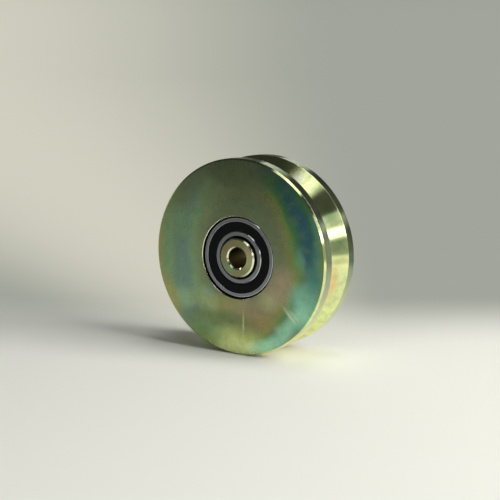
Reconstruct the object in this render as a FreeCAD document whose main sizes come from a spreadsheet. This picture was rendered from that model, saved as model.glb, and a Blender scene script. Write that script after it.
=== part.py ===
import FreeCAD, Part
import os
import re
import Sketcher
from FreeCAD import Placement, Rotation, Vector

# V groove wheel for a gate track: a turned steel wheel on two sealed ball bearings,
# with a plain sleeve through both inner races that an axle bolt passes through.
# The origin is the wheel's centre, the wheel turns about Y and its front face looks along -Y.
# Every half-section below is drawn in the XY plane, with X as the radius and Y along the axle.

SIZES = {
    # wheel body
    "wheel_od": 100.0,            # outside diameter of both lands
    "wheel_width": 31.2,          # from the front face to the rear face
    "rim_chamfer": 0.9,           # turned edge between a face and its land
    "groove_mouth": 17.6,         # width of the V between the two lands
    "groove_angle": 90.0,         # included angle of the V, for an upturned angle iron
    "groove_root": 2.0,           # flat at the bottom of the V
    "groove_break": 0.3,          # broken edge where each flank meets its land
    "bearing_recess": 1.05,       # depth of each bearing's face below the wheel's face
    "seat_chamfer": 0.6,          # lead-in of each bearing seat
    "rib_height": 2.8,            # height inside the seats of the rib between the two bearings
    # sealed ball bearing, a standard 20 x 42 x 12 size
    "race_od": 42.0,
    "race_bore": 20.0,
    "race_width": 12.0,
    "outer_corner": 0.6,          # round on the outer race's outside corners
    "bore_corner": 1.2,           # round on the inner race's bore corners
    "inner_break": 0.25,          # broken edge outside the inner race's faces
    "ball_share": 0.28864,        # ball's diameter over the room between bore and outside, 6.35 mm here
    "ball_count": 9,
    "ball_play": 0.05,            # gap from a ball to each raceway
    "raceway_conformity": 0.52,   # section radius of both raceways over the ball's diameter
    "shoulder_share": 0.1614,     # depth of both raceways below the races' shoulders, over that diameter
    # snap groove of the outer race and the moulded seal that sits in it
    "window_step": 0.6,           # step out from the shoulder to the face's bore, where the seal shows
    "snap_depth": 0.6,            # radial depth of the groove behind the face
    "snap_width": 0.75,           # axial width of that groove
    "seal_ledge": 1.5,            # depth of the seal's seat below the race's face
    "seal_recess": 0.3,           # depth of the seal's face below the race's face
    "seal_web": 0.7,              # thickness of the seal between lip and bead
    "seal_fit": 0.05,             # gap round the bead in its groove
    "lip_gap": 0.1,               # gap between the lip and the turning inner race
    "lip_tip": 0.4,               # thickness of the lip at its edge
    "lip_taper": 0.8,             # radial length over which the lip thickens to the web
    # pressed steel ribbon cage
    "cage_side_gap": 0.6,         # gap from the ribbon to the shoulder of each race
    "cage_sheet": 0.5,            # thickness of its sheet
    "pocket_gap": 0.12,           # gap between a ball and its pocket
    "rivet_dia": 0.9,
    "rivet_fit": 0.02,            # gap round a rivet's shank in its hole
    "rivet_head_dia": 1.7,
    "rivet_head_high": 0.3,
    # axle sleeve
    "sleeve_bore": 10.5,          # clearance for a 10 mm axle bolt
    "sleeve_proud": 0.57,         # length past the wheel's face at each end
    "sleeve_chamfer": 0.4,        # outside edge of each end
    "sleeve_lead": 0.45,          # lead-in of the bore at each end
}

# distances that several pieces share, as expressions of the sizes above
RIM = "(wheel_od / 2)"
FACE = "(wheel_width / 2)"
RACE_RIM = "(race_od / 2)"
RACE_SIDE = "(race_width / 2)"
BEARING_OFFSET = f"({FACE} - bearing_recess - {RACE_SIDE})"
PITCH = "((race_od + race_bore) / 4)"
BALL_RADIUS = "(ball_share * (race_od - race_bore) / 2)"
OUTER_FLOOR = f"({PITCH} + {BALL_RADIUS} + ball_play)"
INNER_FLOOR = f"({PITCH} - {BALL_RADIUS} - ball_play)"
SHOULDER_DEPTH = f"(2 * shoulder_share * {BALL_RADIUS})"
OUTER_SHOULDER = f"({OUTER_FLOOR} - {SHOULDER_DEPTH})"
INNER_SHOULDER = f"({INNER_FLOOR} + {SHOULDER_DEPTH})"
RACEWAY = f"(2 * raceway_conformity * {BALL_RADIUS})"
LEDGE = f"({RACE_SIDE} - seal_ledge)"
WINDOW = f"({OUTER_SHOULDER} + window_step)"
SNAP_FLOOR = f"({WINDOW} + snap_depth)"
SNAP_BACK = f"({LEDGE} + snap_width)"
POCKET = f"({BALL_RADIUS} + pocket_gap)"
HALF_STEP = "(180 / ball_count)"
SLEEVE_END = f"({FACE} + sleeve_proud)"

# reach of a cutting outline past the metal that it clears
OVERRUN = 1.0
# largest difference between two radii that count as the same edge
SAME_EDGE = 1e-4
START, END, CENTRE = range(1, 4)
TURN_OVER = Rotation(Vector(1, 0, 0), 180)
FACE_BACK = Rotation(Vector(0, 0, 1), 180)

document = FreeCAD.newDocument("v_groove_wheel")
sheet = document.addObject("Spreadsheet::Sheet", "dims")
pieces = []


def fill_sheet():
    """Write each driving size into the sheet and give its cell the size's name."""
    for row, (name, value) in enumerate(SIZES.items(), 1):
        sheet.set(f"A{row}", name)
        sheet.set(f"B{row}", str(value))
        sheet.setAlias(f"B{row}", name)
    document.recompute()


def bound(expression):
    """Return an expression with the sheet's name before every size in it."""
    return re.sub(r"\b(" + "|".join(SIZES) + r")\b", r"dims.\1", expression)


def size(expression):
    """Return the value that an expression of the sizes has now."""
    return float(sheet.evalExpression(bound(expression)))


def piece_body(label):
    """Start the solid of one separate piece."""
    body = document.addObject("PartDesign::Body", label)
    body.Label = label
    pieces.append(body)
    return body


def origin_feature(body, role):
    """Return one of a body's own origin planes or axes."""
    return next(item for item in body.Origin.OriginFeatures if item.Role == role)


def new_sketch(body, name, plane):
    """Start a sketch on one of the body's origin planes."""
    sketch = body.newObject("Sketcher::SketchObject", name)
    sketch.AttachmentSupport = (origin_feature(body, plane), [""])
    sketch.MapMode = "FlatFace"
    return sketch


def hold_point(sketch, line, end, across, along):
    """Tie a point of a sketch to two expressions, from the sketch's origin."""
    for kind, expression in (("DistanceX", across), ("DistanceY", along)):
        rule = sketch.addConstraint(Sketcher.Constraint(kind, line, end, size(expression)))
        sketch.setExpression(f"Constraints[{rule}]", bound(expression))


def outline(body, name, corners, plane="XY_Plane"):
    """Draw a closed outline with a corner at each pair of expressions."""
    sketch = new_sketch(body, name, plane)
    places = [Vector(size(across), size(along), 0) for across, along in corners]
    count = len(corners)
    for line in range(count):
        sketch.addGeometry(Part.LineSegment(places[line], places[(line + 1) % count]), False)
    for line in range(count):
        joint = Sketcher.Constraint("Coincident", line, END, (line + 1) % count, START)
        sketch.addConstraint(joint)
    for line, (across, along) in enumerate(corners):
        hold_point(sketch, line, START, across, along)
    return sketch


def ring_outline(body, name, across, radius, plane="XY_Plane"):
    """Draw a circle whose centre lies on the sketch's first axis."""
    sketch = new_sketch(body, name, plane)
    circle = Part.Circle(Vector(size(across), 0, 0), Vector(0, 0, 1), size(radius))
    sketch.addGeometry(circle, False)
    rule = sketch.addConstraint(Sketcher.Constraint("Radius", 0, size(radius)))
    sketch.setExpression(f"Constraints[{rule}]", bound(radius))
    hold_point(sketch, 0, CENTRE, across, "0")
    return sketch


def turn(body, name, sketch, kind="Revolution"):
    """Sweep a half-section once round the axle, as new metal or as a cut."""
    feature = body.newObject(f"PartDesign::{kind}", name)
    feature.Profile = sketch
    feature.ReferenceAxis = (sketch, ["V_Axis"])
    feature.Angle = 360
    document.recompute()
    return feature


def repeat_round(body, name, original):
    """Repeat a feature at every ball's share of the circle."""
    pattern = body.newObject("PartDesign::PolarPattern", name)
    pattern.Originals = [original]
    pattern.Axis = (origin_feature(body, "Y_Axis"), [""])
    pattern.Angle = 360
    pattern.setExpression("Occurrences", bound("ball_count"))
    body.Tip = pattern
    document.recompute()
    return pattern


def round_edges(feature, radius, along):
    """Name the circular edges of a feature at one radius, on both sides of the middle."""
    names = []
    for number, edge in enumerate(feature.Shape.Edges, 1):
        if not isinstance(edge.Curve, Part.Circle):
            continue
        same_radius = abs(edge.Curve.Radius - size(radius)) < SAME_EDGE
        if same_radius and abs(abs(edge.Curve.Center.y) - size(along)) < SAME_EDGE:
            names.append(f"Edge{number}")
    return names


def break_edges(body, name, radius, along, amount, kind="Chamfer"):
    """Chamfer or round the pair of circular edges at a radius and a distance along the axle."""
    base = body.Tip
    edge = body.newObject(f"PartDesign::{kind}", name)
    edge.Base = (base, round_edges(base, radius, along))
    edge.setExpression("Size" if kind == "Chamfer" else "Radius", bound(amount))
    document.recompute()
    return edge


def make_wheel_body():
    """Turned steel wheel: a disc with a V round its rim and a bearing seat in each face."""
    body = piece_body("wheel_body")
    rib_bore = f"({RACE_RIM} - rib_height)"
    disc = outline(body, "disc_section", [
        (rib_bore, f"-{FACE}"),
        (RIM, f"-{FACE}"),
        (RIM, FACE),
        (rib_bore, FACE),
    ])
    turn(body, "disc", disc)
    slope = "tan(groove_angle / 2)"
    root = f"{RIM} - (groove_mouth - groove_root) / 2 / {slope}"
    mouth = f"(groove_mouth / 2 + {OVERRUN} * {slope})"
    groove = outline(body, "groove_section", [
        (f"{RIM} + {OVERRUN}", f"-{mouth}"),
        (f"{RIM} + {OVERRUN}", mouth),
        (root, "groove_root / 2"),
        (root, "-groove_root / 2"),
    ])
    turn(body, "v_groove", groove, "Groove")
    seat_floor = f"({FACE} - bearing_recess - race_width)"
    seat = outline(body, "seat_section", [
        ("0", f"-{FACE} - {OVERRUN}"),
        (RACE_RIM, f"-{FACE} - {OVERRUN}"),
        (RACE_RIM, f"-{seat_floor}"),
        ("0", f"-{seat_floor}"),
    ])
    front_seat = turn(body, "front_seat", seat, "Groove")
    both_seats = body.newObject("PartDesign::Mirrored", "rear_seat")
    both_seats.Originals = [front_seat]
    both_seats.MirrorPlane = (origin_feature(body, "XZ_Plane"), [""])
    body.Tip = both_seats
    document.recompute()
    break_edges(body, "rim_chamfers", RIM, FACE, "rim_chamfer")
    break_edges(body, "seat_lead_ins", RACE_RIM, FACE, "seat_chamfer")
    break_edges(body, "groove_breaks", RIM, "groove_mouth / 2", "groove_break")


def make_axle_sleeve():
    """Plain turned sleeve that clamps between the brackets and carries both inner races."""
    body = piece_body("axle_sleeve")
    tube = outline(body, "tube_section", [
        ("sleeve_bore / 2", f"-{SLEEVE_END}"),
        ("race_bore / 2", f"-{SLEEVE_END}"),
        ("race_bore / 2", SLEEVE_END),
        ("sleeve_bore / 2", SLEEVE_END),
    ])
    turn(body, "tube", tube)
    break_edges(body, "end_chamfers", "race_bore / 2", SLEEVE_END, "sleeve_chamfer")
    break_edges(body, "bore_lead_ins", "sleeve_bore / 2", SLEEVE_END, "sleeve_lead")


def make_outer_race(label):
    """Hardened ring with a raceway inside and a snap groove for a seal at each side."""
    body = piece_body(label)
    ring = outline(body, "ring_section", [
        (RACE_RIM, f"-{RACE_SIDE}"),
        (RACE_RIM, RACE_SIDE),
        (WINDOW, RACE_SIDE),
        (WINDOW, SNAP_BACK),
        (SNAP_FLOOR, SNAP_BACK),
        (SNAP_FLOOR, LEDGE),
        (OUTER_SHOULDER, LEDGE),
        (OUTER_SHOULDER, f"-{LEDGE}"),
        (SNAP_FLOOR, f"-{LEDGE}"),
        (SNAP_FLOOR, f"-{SNAP_BACK}"),
        (WINDOW, f"-{SNAP_BACK}"),
        (WINDOW, f"-{RACE_SIDE}"),
    ])
    turn(body, "ring", ring)
    raceway = ring_outline(body, "raceway_section", f"{OUTER_FLOOR} - {RACEWAY}", RACEWAY)
    turn(body, "raceway", raceway, "Groove")
    break_edges(body, "corners", RACE_RIM, RACE_SIDE, "outer_corner", "Fillet")
    return body


def make_inner_race(label):
    """Hardened ring on the sleeve, with a raceway outside."""
    body = piece_body(label)
    ring = outline(body, "ring_section", [
        ("race_bore / 2", f"-{RACE_SIDE}"),
        (INNER_SHOULDER, f"-{RACE_SIDE}"),
        (INNER_SHOULDER, RACE_SIDE),
        ("race_bore / 2", RACE_SIDE),
    ])
    turn(body, "ring", ring)
    raceway = ring_outline(body, "raceway_section", f"{INNER_FLOOR} + {RACEWAY}", RACEWAY)
    turn(body, "raceway", raceway, "Groove")
    break_edges(body, "bore_corners", "race_bore / 2", RACE_SIDE, "bore_corner", "Fillet")
    break_edges(body, "outer_breaks", INNER_SHOULDER, RACE_SIDE, "inner_break")
    return body


def make_seal(label):
    """Moulded rubber disc: a bead snapped into the outer race, a web and a tapered lip."""
    body = piece_body(label)
    front = f"({RACE_SIDE} - seal_recess)"
    back = f"({front} - seal_web)"
    lip = f"({INNER_SHOULDER} + lip_gap)"
    lip_root = f"({lip} + lip_taper)"
    lip_middle = f"({front} - seal_web / 2)"
    neck = f"({WINDOW} - seal_fit)"
    bead_rim = f"({SNAP_FLOOR} - seal_fit)"
    bead_inside = f"({OUTER_SHOULDER} + seal_fit)"
    section = outline(body, "seal_section", [
        (lip, f"{lip_middle} - lip_tip / 2"),
        (lip, f"{lip_middle} + lip_tip / 2"),
        (lip_root, front),
        (neck, front),
        (neck, f"{SNAP_BACK} - seal_fit"),
        (bead_rim, f"{SNAP_BACK} - seal_fit"),
        (bead_rim, LEDGE),
        (bead_inside, LEDGE),
        (bead_inside, back),
        (lip_root, back),
    ])
    turn(body, "seal", section)
    return body


def pocket_ball(body, name, kind, radius):
    """Add or take away a sphere at every ball's place in the cage."""
    ball = body.newObject(f"PartDesign::{kind}Sphere", name)
    ball.AttachmentSupport = (origin_feature(body, "XY_Plane"), [""])
    ball.MapMode = "FlatFace"
    ball.setExpression("Radius", bound(radius))
    ball.setExpression("AttachmentOffset.Base.x", bound(f"{PITCH} * cos({HALF_STEP})"))
    ball.setExpression("AttachmentOffset.Base.z", bound(f"{PITCH} * sin({HALF_STEP})"))
    document.recompute()
    return repeat_round(body, f"{name}s", ball)


def make_cage_half(label):
    """Pressed ribbon: a flat ring with a round bulge over each ball and a hole for each rivet."""
    body = piece_body(label)
    inside = f"({INNER_SHOULDER} + cage_side_gap)"
    outside = f"({OUTER_SHOULDER} - cage_side_gap)"
    ribbon = outline(body, "ribbon_section", [
        (inside, "0"),
        (outside, "0"),
        (outside, "cage_sheet"),
        (inside, "cage_sheet"),
    ])
    turn(body, "ribbon", ribbon)
    pocket_ball(body, "bulge", "Additive", f"{POCKET} + cage_sheet")
    clear = f"({POCKET} + cage_sheet + {OVERRUN})"
    trim = outline(body, "trim_section", [
        ("0", f"-{clear}"),
        (f"{PITCH} + {clear}", f"-{clear}"),
        (f"{PITCH} + {clear}", clear),
        (outside, clear),
        (outside, "0"),
        (inside, "0"),
        (inside, clear),
        ("0", clear),
    ])
    turn(body, "trim", trim, "Groove")
    pocket_ball(body, "pocket", "Subtractive", POCKET)
    hole = body.newObject("PartDesign::Pocket", "rivet_hole")
    hole.Profile = ring_outline(body, "hole_circle", PITCH, "rivet_dia / 2 + rivet_fit", "XZ_Plane")
    hole.Type = "ThroughAll"
    hole.Midplane = True
    document.recompute()
    repeat_round(body, "rivet_holes", hole)
    return body


def make_rivets(label):
    """Ring of small rivets, headed at both ends, that join the two cage halves."""
    body = piece_body(label)
    shank = f"({PITCH} + rivet_dia / 2)"
    head = f"({PITCH} + rivet_head_dia / 2)"
    top = "(cage_sheet + rivet_head_high)"
    section = outline(body, "rivet_section", [
        (PITCH, f"-{top}"),
        (head, f"-{top}"),
        (head, "-cage_sheet"),
        (shank, "-cage_sheet"),
        (shank, "cage_sheet"),
        (head, "cage_sheet"),
        (head, top),
        (PITCH, top),
    ])
    rivet = body.newObject("PartDesign::Revolution", "rivet")
    rivet.Profile = section
    rivet.ReferenceAxis = (section, [f"Edge{len(section.Geometry)}"])
    rivet.Angle = 360
    document.recompute()
    repeat_round(body, "rivets", rivet)
    return body


def make_ball(label, number, side):
    """Steel ball at its place on the pitch circle of one bearing."""
    ball = document.addObject("Part::Sphere", label)
    ball.Label = label
    ball.setExpression("Radius", bound(BALL_RADIUS))
    angle = f"({HALF_STEP} * {2 * number - 1})"
    ball.setExpression("Placement.Base.x", bound(f"{-side} * {PITCH} * cos({angle})"))
    ball.setExpression("Placement.Base.y", bound(f"{side} * {BEARING_OFFSET}"))
    ball.setExpression("Placement.Base.z", bound(f"{PITCH} * sin({angle})"))
    pieces.append(ball)


def set_in_bearing(body, side, turned_over=False):
    """Move a piece to the middle of its bearing, with its outboard side facing out."""
    facing = FACE_BACK if side > 0 else Rotation()
    body.Placement = Placement(Vector(), facing * TURN_OVER if turned_over else facing)
    body.setExpression("Placement.Base.y", bound(f"{side} * {BEARING_OFFSET}"))


def make_bearing(name, side):
    """Sealed deep groove ball bearing, at the front for side -1 and at the rear for side 1."""
    set_in_bearing(make_outer_race(f"{name}_outer_race"), side)
    set_in_bearing(make_inner_race(f"{name}_inner_race"), side)
    set_in_bearing(make_seal(f"{name}_outboard_seal"), side, turned_over=True)
    set_in_bearing(make_seal(f"{name}_inboard_seal"), side)
    set_in_bearing(make_cage_half(f"{name}_outboard_cage"), side, turned_over=True)
    set_in_bearing(make_cage_half(f"{name}_inboard_cage"), side)
    set_in_bearing(make_rivets(f"{name}_cage_rivets"), side)
    for number in range(1, int(SIZES["ball_count"]) + 1):
        make_ball(f"{name}_ball_{number}", number, side)


def check_document():
    """Stop if a feature failed or a piece has no sound solid."""
    document.recompute()
    for item in document.Objects:
        if "Invalid" in item.State or "Error" in item.State:
            raise RuntimeError(f"{item.Label} did not build: {item.State}")
    for piece in pieces:
        if piece.Shape.isNull() or not piece.Shape.isValid():
            raise RuntimeError(f"{piece.Label} has no sound solid")


def write_pieces():
    """Write each piece to its own file."""
    os.makedirs("parts", exist_ok=True)
    for piece in pieces:
        piece.Shape.exportStep(f"parts/{piece.Label}.step")
        print(f"{piece.Label}: {len(piece.Shape.Solids)} solid, {piece.Shape.Volume:.2f} mm3")


fill_sheet()
make_wheel_body()
make_axle_sleeve()
make_bearing("front_bearing", -1)
make_bearing("rear_bearing", 1)
check_document()
write_pieces()
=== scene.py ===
"""Finishes, fine turned meshes, studio and camera for one V groove wheel.

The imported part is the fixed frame, in metres: the wheel turns about Y, its front face looks
along -Y and its centre is the origin. Turned pieces are made again as finer meshes with rounded
edges, and the pieces inside the bearings keep their own meshes under a better finish.
"""

import logging
import math
from dataclasses import dataclass, replace
from enum import Enum, IntEnum

import bpy
from mathutils import Matrix, Vector


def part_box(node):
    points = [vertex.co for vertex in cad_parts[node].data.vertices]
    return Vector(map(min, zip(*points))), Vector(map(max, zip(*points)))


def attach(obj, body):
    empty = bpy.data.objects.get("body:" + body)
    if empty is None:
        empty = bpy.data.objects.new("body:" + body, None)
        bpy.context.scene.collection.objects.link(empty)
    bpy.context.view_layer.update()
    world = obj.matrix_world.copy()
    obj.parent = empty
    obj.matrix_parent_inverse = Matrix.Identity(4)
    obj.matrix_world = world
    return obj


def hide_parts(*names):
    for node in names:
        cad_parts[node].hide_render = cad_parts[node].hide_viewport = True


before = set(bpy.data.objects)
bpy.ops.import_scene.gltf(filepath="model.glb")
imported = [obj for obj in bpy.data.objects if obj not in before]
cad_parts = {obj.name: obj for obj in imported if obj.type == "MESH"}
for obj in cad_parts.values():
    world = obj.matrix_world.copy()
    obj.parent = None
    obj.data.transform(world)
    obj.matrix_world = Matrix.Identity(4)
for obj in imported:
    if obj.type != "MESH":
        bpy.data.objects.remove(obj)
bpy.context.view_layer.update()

Tree = bpy.types.NodeTree
Node = bpy.types.Node
Socket = bpy.types.NodeSocket
Material = bpy.types.Material
Pair = tuple[float, float]
Triple = tuple[float, float, float]
Colour = tuple[float, float, float, float]

MM = 0.001
# the real tool marks and mould grain are too fine to show, so they are drawn this many times as
# coarse as they are
COARSER = 4
# a patch of the end faces is centred close to the front one and reaches right through the wheel
END_FACE = -15.0
THROUGH = 900.0
# chords in each half of a raceway's section
GROOVE_STEPS = 9

logging.basicConfig(level=logging.INFO, format="%(message)s")
log = logging.getLogger("v_groove_wheel")


def linear(colour: str) -> Colour:
    """Turn an sRGB hex colour to linear light.

    Args:
        colour: Colour as "#rrggbb".

    Returns:
        Red, green, blue and an alpha of 1, as Blender's sockets take them.
    """
    shares = [int(colour[place:place + 2], 16) / 255 for place in (1, 3, 5)]
    light = [part / 12.92 if part <= 0.04045 else ((part + 0.055) / 1.055) ** 2.4 for part in shares]
    return (light[0], light[1], light[2], 1.0)


def add_node(tree: Tree, kind: str, inputs: dict | None = None, **settings: object) -> Node:
    """Add one shader node with its settings, values and links.

    Args:
        tree: Node tree that gets the node.
        kind: Blender's type name of the node, without the "ShaderNode" before it.
        inputs: For each input's name, or its number where names repeat, the value or what feeds
            it: an output, or a node, which stands for its first output in use.
        settings: Properties of the node itself.

    Returns:
        The new node.
    """
    node = tree.nodes.new(f"ShaderNode{kind}")
    for name, value in settings.items():
        setattr(node, name, value)
    in_use = {socket.name: socket for socket in node.inputs if socket.enabled}
    for key, value in (inputs or {}).items():
        socket = in_use[key] if isinstance(key, str) else node.inputs[key]
        if isinstance(value, Node):
            value = next(output for output in value.outputs if output.enabled)
        if isinstance(value, Socket):
            tree.links.new(value, socket)
        else:
            socket.default_value = value
    return node


def bare_material(name: str) -> Material:
    """Make a material without nodes.

    Args:
        name: Its name.

    Returns:
        The material.
    """
    material = bpy.data.materials.new(name)
    material.use_nodes = True
    material.node_tree.nodes.clear()
    return material


def cloudy(tree: Tree, place: Socket, size: float, span: Pair) -> Node:
    """Return a value that changes in soft clouds.

    Args:
        tree: Node tree of the material.
        place: Point that is shaded.
        size: Size of a cloud in millimetres.
        span: Least and greatest value.

    Returns:
        The node that gives the value.
    """
    noise = add_node(tree, "TexNoise", {"Vector": place, "Scale": 1 / (size * MM), "Detail": 3.0})
    return add_node(tree, "MapRange", {"Value": noise, "To Min": span[0], "To Max": span[1]})


def add_object(name: str, data: bpy.types.ID) -> bpy.types.Object:
    """Put a new object into the scene.

    Args:
        name: Its name.
        data: Its mesh, lamp or camera.

    Returns:
        The object.
    """
    item = bpy.data.objects.new(name, data)
    bpy.context.scene.collection.objects.link(item)
    return item


def direction(azimuth: float, elevation: float) -> Vector:
    """Return a direction from the wheel.

    Args:
        azimuth: Angle round the wheel in degrees, 0 in front of its face and 90 to its right.
        elevation: Angle above the floor in degrees.

    Returns:
        The direction, as a vector of length 1.
    """
    turn, rise = math.radians(azimuth), math.radians(elevation)
    return Vector((math.sin(turn) * math.cos(rise), -math.cos(turn) * math.cos(rise), math.sin(rise)))


class Side(Enum):
    """End of the wheel that a bearing sits in, with its direction along the axle."""

    FRONT = -1
    REAR = 1

    @property
    def bearing(self) -> str:
        """Name that the bearing's nodes start with."""
        return f"{self.name.lower()}_bearing"


class WheelFinish(IntEnum):
    """Surfaces of the wheel body, in the order of its materials."""

    FACE = 0
    GROOVE = 1
    LAND = 2
    # near black: painted shade in the seats
    SEAT = 3
    # lead-ins of the seats, in a lighter finish as painted highlight
    EDGE = 4


class SleeveFinish(IntEnum):
    """Surfaces of the axle sleeve, in the order of its materials."""

    OUTSIDE = 0
    BORE = 1
    # chamfers and rounded edges, in a lighter finish as painted highlight
    EDGE = 2


class RaceFinish(IntEnum):
    """Surfaces of a race, in the order of its materials."""

    GROUND = 0
    # near black: painted shade in the gaps
    GAP = 1
    # a lighter copy of the race steel: painted highlight on the edges
    HONED = 2


class Tint(Enum):
    """Colours of a yellow chromate film on zinc as its thickness changes, some also used as painted
    light.
    """

    OLIVE = "#6f7a5e"
    MOSS = "#7d8b68"
    SAGE = "#7f9b74"
    STEEL = "#728d80"
    KHAKI = "#7d8056"
    BRONZE = "#8a7d5c"
    GRASS = "#72894f"
    FERN = "#4c7850"
    PINE = "#3f6a60"
    NAVY = "#3a6070"
    TEAL = "#55877a"
    SEA = "#80b8a0"
    AQUA = "#9ad0ae"
    ROSE = "#a09078"
    RUST = "#95825a"
    SHADE = "#6a794e"
    GOLD = "#a09c62"
    LIME = "#b6c078"
    PEARL = "#d3e0bc"
    STRAW = "#e6eeae"
    MINT = "#a6c48c"
    WHEAT = "#b3b184"
    CREAM = "#f6f2c4"
    VIOLET = "#d6cfe0"
    AMBER = "#ecc78a"
    LAND = "#b1bc9b"
    UMBER = "#4a5339"
    SLEEVE = "#918e67"
    BORE = "#857a58"
    # lighter film for the edges, a painted highlight
    EDGE = "#eef2d2"


@dataclass(frozen=True)
class FilmAndLightPatch:
    """Soft oval of another film colour or of painted light, placed by its centre and half sizes in
    millimetres.

    Attributes:
        tint: Colour of the film there.
        place: Centre as X, Y and Z.
        reach: Half size across, along the axle and up, out to where the tint has gone.
        turn: Turn of the oval about the axle, in degrees.
        share: Share of the tint at the middle of the oval.
        core: Part of the reach that has the full share.
    """

    tint: Tint
    place: Triple
    reach: Triple
    turn: float = 0.0
    share: float = 1.0
    core: float = 0.2


def face_patch(tint: Tint, place: Pair, reach: Pair, **looks: float) -> FilmAndLightPatch:
    """Return a patch of the end faces.

    Args:
        tint: Colour of the film there.
        place: Centre as X and Z, in millimetres.
        reach: Half size across and up, in millimetres.
        looks: Its turn, share or core.

    Returns:
        The patch.
    """
    return FilmAndLightPatch(tint, (place[0], END_FACE, place[1]), (reach[0], THROUGH, reach[1]), **looks)


@dataclass(frozen=True)
class FilmRings:
    """Oval rings of film colours round the axle, as the film thins towards the rim.

    Attributes:
        right_half: Half width and half height in millimetres of the ring at distance 1, on the
            right of the axle.
        right: Distances and tints of the rings there.
        left_half: The same half sizes on the left of the axle.
        left: Distances and tints of the rings there.
        blend: Half width of the strip where one side goes over into the other, in millimetres.
    """

    right_half: Pair
    right: tuple[tuple[float, Tint], ...]
    left_half: Pair
    left: tuple[tuple[float, Tint], ...]
    blend: float = 15.0


@dataclass(frozen=True)
class Metal:
    """Base of the metal finishes: its colour, gloss and the marks that the tool left.

    Attributes:
        name: Name of the material.
        ground: Main colour of the surface.
        roughness: Roughness of the smooth parts.
        anisotropy: Stretch of the highlights across the tool marks.
        feed: Real spacing of the round tool marks in millimetres, drawn COARSER times as wide.
        depth: Depth of those marks in millimetres, as drawn.
        along: Share of the place along the axle in the tool's path, which marks the lands too.
        cloud: Size in millimetres of the clouds in its colour.
        shade: How much lighter and darker those clouds are.
        gloss_cloud: Size in millimetres of the clouds in its gloss.
        gloss_change: How much rougher and smoother those clouds are.
    """

    name: str
    ground: str
    roughness: float
    anisotropy: float
    feed: float
    depth: float
    along: float = 0.4
    cloud: float = 4.0
    shade: float = 0.14
    gloss_cloud: float = 6.0
    gloss_change: float = 0.2

    def tool_marks(self, tree: Tree, place: Socket) -> Node:
        """Return the height of the round tool marks, from 0 to 1.

        The marks follow the radius and, on a land or flank, the place along the axle.

        Args:
            tree: Node tree of the material.
            place: Point that is shaded.

        Returns:
            The noise along the tool's path.
        """
        parts = add_node(tree, "SeparateXYZ", {"Vector": place})
        flat = add_node(tree, "VectorMath", {0: place, 1: (1, 0, 1)}, operation="MULTIPLY")
        radius = add_node(tree, "VectorMath", {0: flat}, operation="LENGTH")
        along = {0: parts.outputs["Y"], 1: self.along, 2: radius}
        path = add_node(tree, "Math", along, operation="MULTIPLY_ADD")
        sweep = {"W": path, "Scale": 1 / (self.feed * COARSER * MM), "Detail": 2.0}
        return add_node(tree, "TexNoise", sweep, noise_dimensions="1D")

    def colour(self, tree: Tree, place: Socket) -> Node | Triple:
        """Return the surface's colour, which is the ground alone."""
        return linear(self.ground)[:3]

    def material(self) -> Material:
        """Make the material: a metal with round tool marks and a cloudy shade and gloss.

        Returns:
            The material.
        """
        material = bare_material(self.name)
        tree = material.node_tree
        place = add_node(tree, "TexCoord").outputs["Object"]
        marks = self.tool_marks(tree, place)
        relief = add_node(tree, "Bump", {"Height": marks, "Strength": 1.0, "Distance": self.depth * MM})
        shade = cloudy(tree, place, self.cloud, (1 - self.shade, 1 + self.shade))
        colour = {0: self.colour(tree, place), "Scale": shade}
        smoothest = self.roughness * (1 - self.gloss_change)
        roughest = self.roughness * (1 + self.gloss_change)
        shader = add_node(
            tree,
            "BsdfPrincipled",
            {
                "Base Color": add_node(tree, "VectorMath", colour, operation="SCALE"),
                "Metallic": 1.0,
                "Roughness": cloudy(tree, place, self.gloss_cloud, (smoothest, roughest)),
                "Anisotropic": self.anisotropy,
                # a quarter turn from the round marks, so highlights stretch across them
                "Anisotropic Rotation": 0.25,
                "Tangent": add_node(tree, "Tangent", direction_type="RADIAL", axis="Y"),
                "Normal": relief,
            },
        )
        add_node(tree, "OutputMaterial", {"Surface": shader})
        return material


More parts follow.
